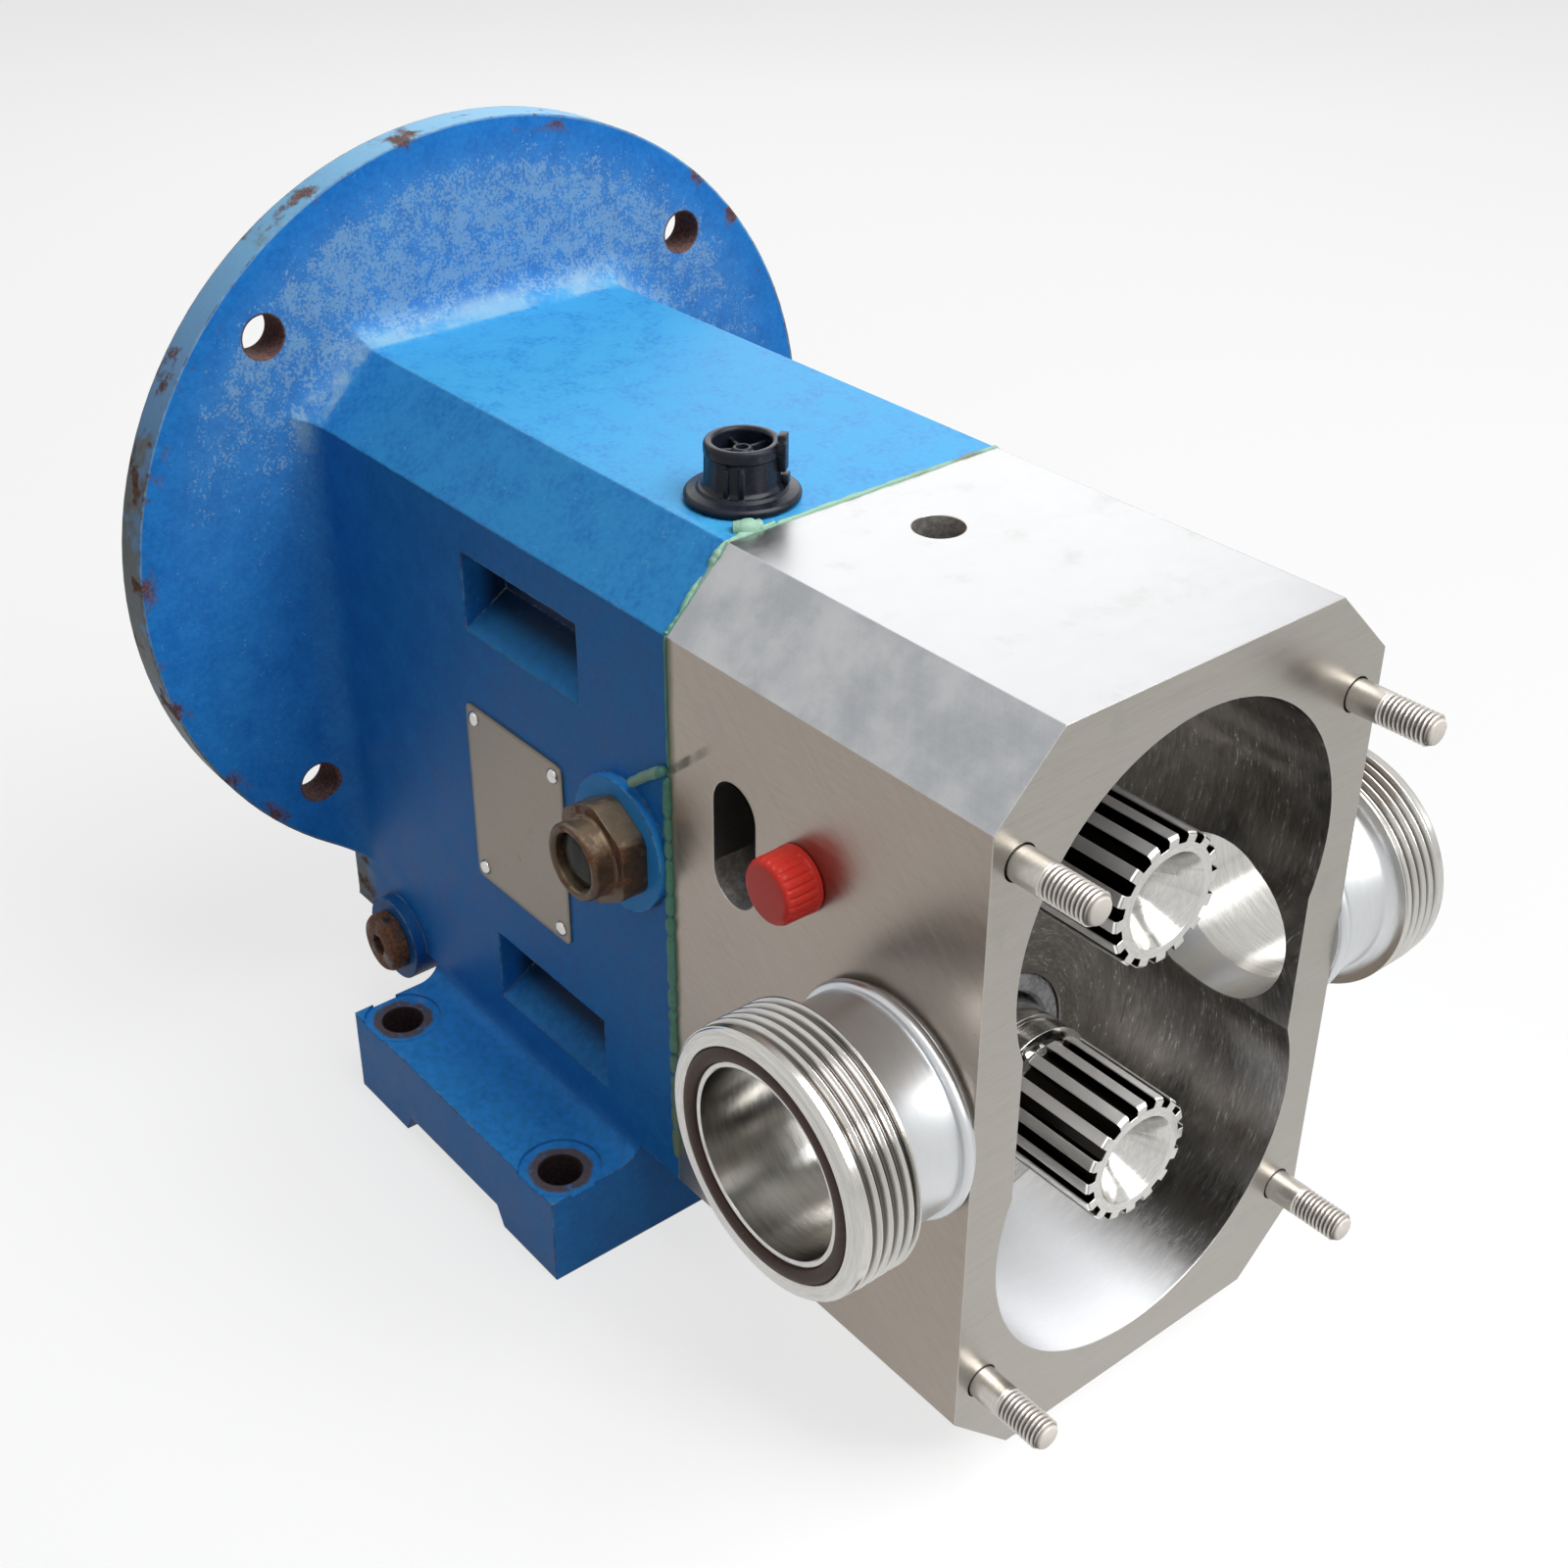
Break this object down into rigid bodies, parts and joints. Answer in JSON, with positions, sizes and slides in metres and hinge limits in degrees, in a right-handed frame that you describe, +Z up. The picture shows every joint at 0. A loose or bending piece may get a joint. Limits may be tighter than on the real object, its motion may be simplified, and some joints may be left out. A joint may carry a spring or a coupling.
{
  "type": "rotary lobe pump",
  "caption": "Rotary lobe pump with its front cover and rotors off: stainless rotor case, splined shafts, screwed side ports and a footed, flanged gearbox.",
  "frame": {"origin": "middle of the four foot bolt holes, on the base plane", "axes": "+X along the shafts towards the open rotor chamber, +Z up, -Y towards the side with the sight glass and nameplate"},
  "size_m": [0.453, 0.35, 0.401],
  "materials": {
    "blue_casting": "worn sprayed machine paint on cast iron",
    "carrier_iron": "machined",
    "black_screw": "black oxide",
    "stainless_case": "ground and polished",
    "stainless_fitting": "turned and polished",
    "stud_steel": "turned",
    "green_gasket": "dried sealant",
    "brown_rubber": "matt",
    "black_plastic": "moulded, slightly glossy",
    "bronze": "tarnished, oily",
    "sight_glass": "dirty",
    "white_disc": "stained",
    "rusty_steel": "rusty",
    "plate_metal": "dull, grimy",
    "red_plastic": "moulded",
    "black_rubber": "matt",
    "shaft_steel": "ground",
    "gear_steel": "oiled, hardened",
    "seal_steel": "turned",
    "bearing_steel": "ground",
    "seal_ceramic": "lapped hard face ring"
  },
  "bodies": {
    "housing": {"gearbox_housing": "blue_casting", "bearing_carrier": "carrier_iron", "carrier_screws": "black_screw", "rotor_case": "stainless_case", "seal_housing": "stainless_case", "inlet_port": "stainless_fitting", "outlet_port": "stainless_fitting", "cover_studs": "stud_steel", "case_gasket": "green_gasket", "inlet_port_seal": "brown_rubber", "outlet_port_seal": "brown_rubber", "breather_plug": "black_plastic", "sight_glass_body": "bronze", "sight_glass_lens": "sight_glass", "sight_glass_reflector": "white_disc", "drain_plug": "rusty_steel", "nameplate": "plate_metal", "nameplate_rivets": "plate_metal", "flush_port_plug": "red_plastic", "rear_lip_seal": "black_rubber", "drive_seal_seat": "seal_ceramic", "drive_front_lip_seal": "black_rubber", "drive_front_outer_race": "bearing_steel", "drive_rear_outer_race": "bearing_steel", "driven_seal_seat": "seal_ceramic", "driven_front_lip_seal": "black_rubber", "driven_front_outer_race": "bearing_steel", "driven_rear_outer_race": "bearing_steel"},
    "drive_shaft_set": {"drive_shaft": "shaft_steel", "drive_gear": "gear_steel", "drive_gear_key": "gear_steel", "drive_spacer_sleeve": "gear_steel", "drive_lock_nut": "gear_steel", "drive_seal_head": "seal_steel", "drive_front_inner_race": "bearing_steel", "drive_rear_inner_race": "bearing_steel"},
    "driven_shaft_set": {"driven_shaft": "shaft_steel", "driven_gear": "gear_steel", "driven_gear_key": "gear_steel", "driven_spacer_sleeve": "gear_steel", "driven_lock_nut": "gear_steel", "driven_seal_head": "seal_steel", "driven_front_inner_race": "bearing_steel", "driven_rear_inner_race": "bearing_steel"}
  },
  "joints": [
    {"name": "drive_shaft_spin", "type": "hinge", "parent": "housing", "child": "drive_shaft_set", "pos_m": [0, 0, 0.226], "axis": [1, 0, 0], "continuous": true},
    {"name": "driven_shaft_spin", "type": "hinge", "parent": "housing", "child": "driven_shaft_set", "pos_m": [0, 0, 0.114], "axis": [1, 0, 0], "continuous": true}
  ],
  "couplings": [
    {"joint": "driven_shaft_spin", "follows": "drive_shaft_spin", "ratio": -1}
  ]
}
